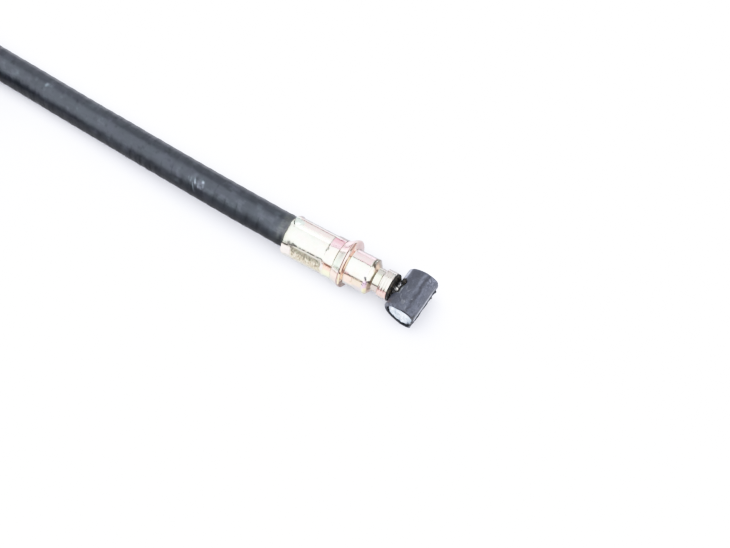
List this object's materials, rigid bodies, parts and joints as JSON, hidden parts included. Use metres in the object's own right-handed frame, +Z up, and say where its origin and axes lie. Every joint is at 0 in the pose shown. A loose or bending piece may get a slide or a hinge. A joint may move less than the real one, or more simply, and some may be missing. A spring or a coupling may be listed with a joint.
{
  "type": "bowden control cable",
  "caption": "Sheathed control cable with a stepped crimped ferrule and a bushed barrel nipple at the lever end, and a threaded adjuster and a plain nipple at the far end, coiled.",
  "frame": {"origin": "centre of the lever ferrule's seat face, on the cable axis, where the spigot begins", "axes": "+X along the cable axis towards the barrel nipple, +Y along the barrel to within 2.3 degrees, +Z up; the cable lies on a surface 6.1 mm below the axis"},
  "size_m": [0.2396, 0.1092, 0.02],
  "materials": {
    "yellow_zinc": "glossy iridescent yellow zinc plating",
    "black_rubber": "soft, slightly greasy",
    "wire_strand": "bright twisted strands",
    "cast_zinc": "bright scratched casting",
    "bush_plastic": "scuffed dark moulded plastic",
    "sheath_pvc": "satin extruded sheath with a faint spiral",
    "winding_steel": "flat-wire winding",
    "liner_plastic": "smooth translucent tube",
    "tie_nylon": "matte moulded nylon"
  },
  "bodies": {
    "conduit": {"lever_ferrule": "yellow_zinc", "mouth_bush": "black_rubber", "lever_sheath_end": "sheath_pvc", "lever_winding_end": "winding_steel", "lever_liner": "liner_plastic", "conduit_lever_stretch": "sheath_pvc", "conduit_coil": "sheath_pvc", "conduit_far_stretch": "sheath_pvc", "far_sheath_end": "sheath_pvc", "far_winding_end": "winding_steel", "far_liner": "liner_plastic", "adjuster_tube": "yellow_zinc", "dust_boot": "black_rubber", "coil_tie": "tie_nylon"},
    "lever_wire": {"lever_inner_wire": "wire_strand", "barrel_core": "cast_zinc"},
    "bush": {"barrel_bush": "bush_plastic"},
    "far_wire": {"far_inner_wire": "wire_strand", "far_nipple": "cast_zinc"},
    "inner_washer_body": {"inner_washer": "yellow_zinc"},
    "inner_nut_body": {"inner_lock_nut": "yellow_zinc"},
    "outer_washer_body": {"outer_washer": "yellow_zinc"},
    "outer_nut_body": {"outer_lock_nut": "yellow_zinc"}
  },
  "joints": [
    {"name": "wire_pull", "type": "slide", "parent": "conduit", "child": "lever_wire", "axis": [1, 0, 0], "range_m": [0, 0.02]},
    {"name": "bush_swivel", "type": "hinge", "parent": "lever_wire", "child": "bush", "pos_m": [0.01625, 0, 0], "axis": [0.0401, 0.9992, 0], "range_deg": [-12, 12]},
    {"name": "far_wire_slide", "type": "slide", "parent": "conduit", "child": "far_wire", "axis": [-1, 0, 0], "range_m": [0, 0.02]},
    {"name": "inner_nut_travel", "type": "slide", "parent": "conduit", "child": "inner_washer_body", "axis": [1, 0, 0], "range_m": [-0.00251, 0.00251]},
    {"name": "inner_nut_turn", "type": "hinge", "parent": "inner_washer_body", "child": "inner_nut_body", "pos_m": [-0.1145, -0.0902, 0.0004], "axis": [1, 0, 0], "range_deg": [-720, 720]},
    {"name": "outer_nut_travel", "type": "slide", "parent": "conduit", "child": "outer_washer_body", "axis": [1, 0, 0], "range_m": [-0.00251, 0.00251]},
    {"name": "outer_nut_turn", "type": "hinge", "parent": "outer_washer_body", "child": "outer_nut_body", "pos_m": [-0.1003, -0.0902, 0.0004], "axis": [1, 0, 0], "range_deg": [-720, 720]}
  ],
  "couplings": [
    {"joint": "far_wire_slide", "follows": "wire_pull", "ratio": 1},
    {"joint": "inner_nut_travel", "follows": "inner_nut_turn", "m_per_rad": 0.00019894},
    {"joint": "outer_nut_travel", "follows": "outer_nut_turn", "m_per_rad": 0.00019894}
  ]
}
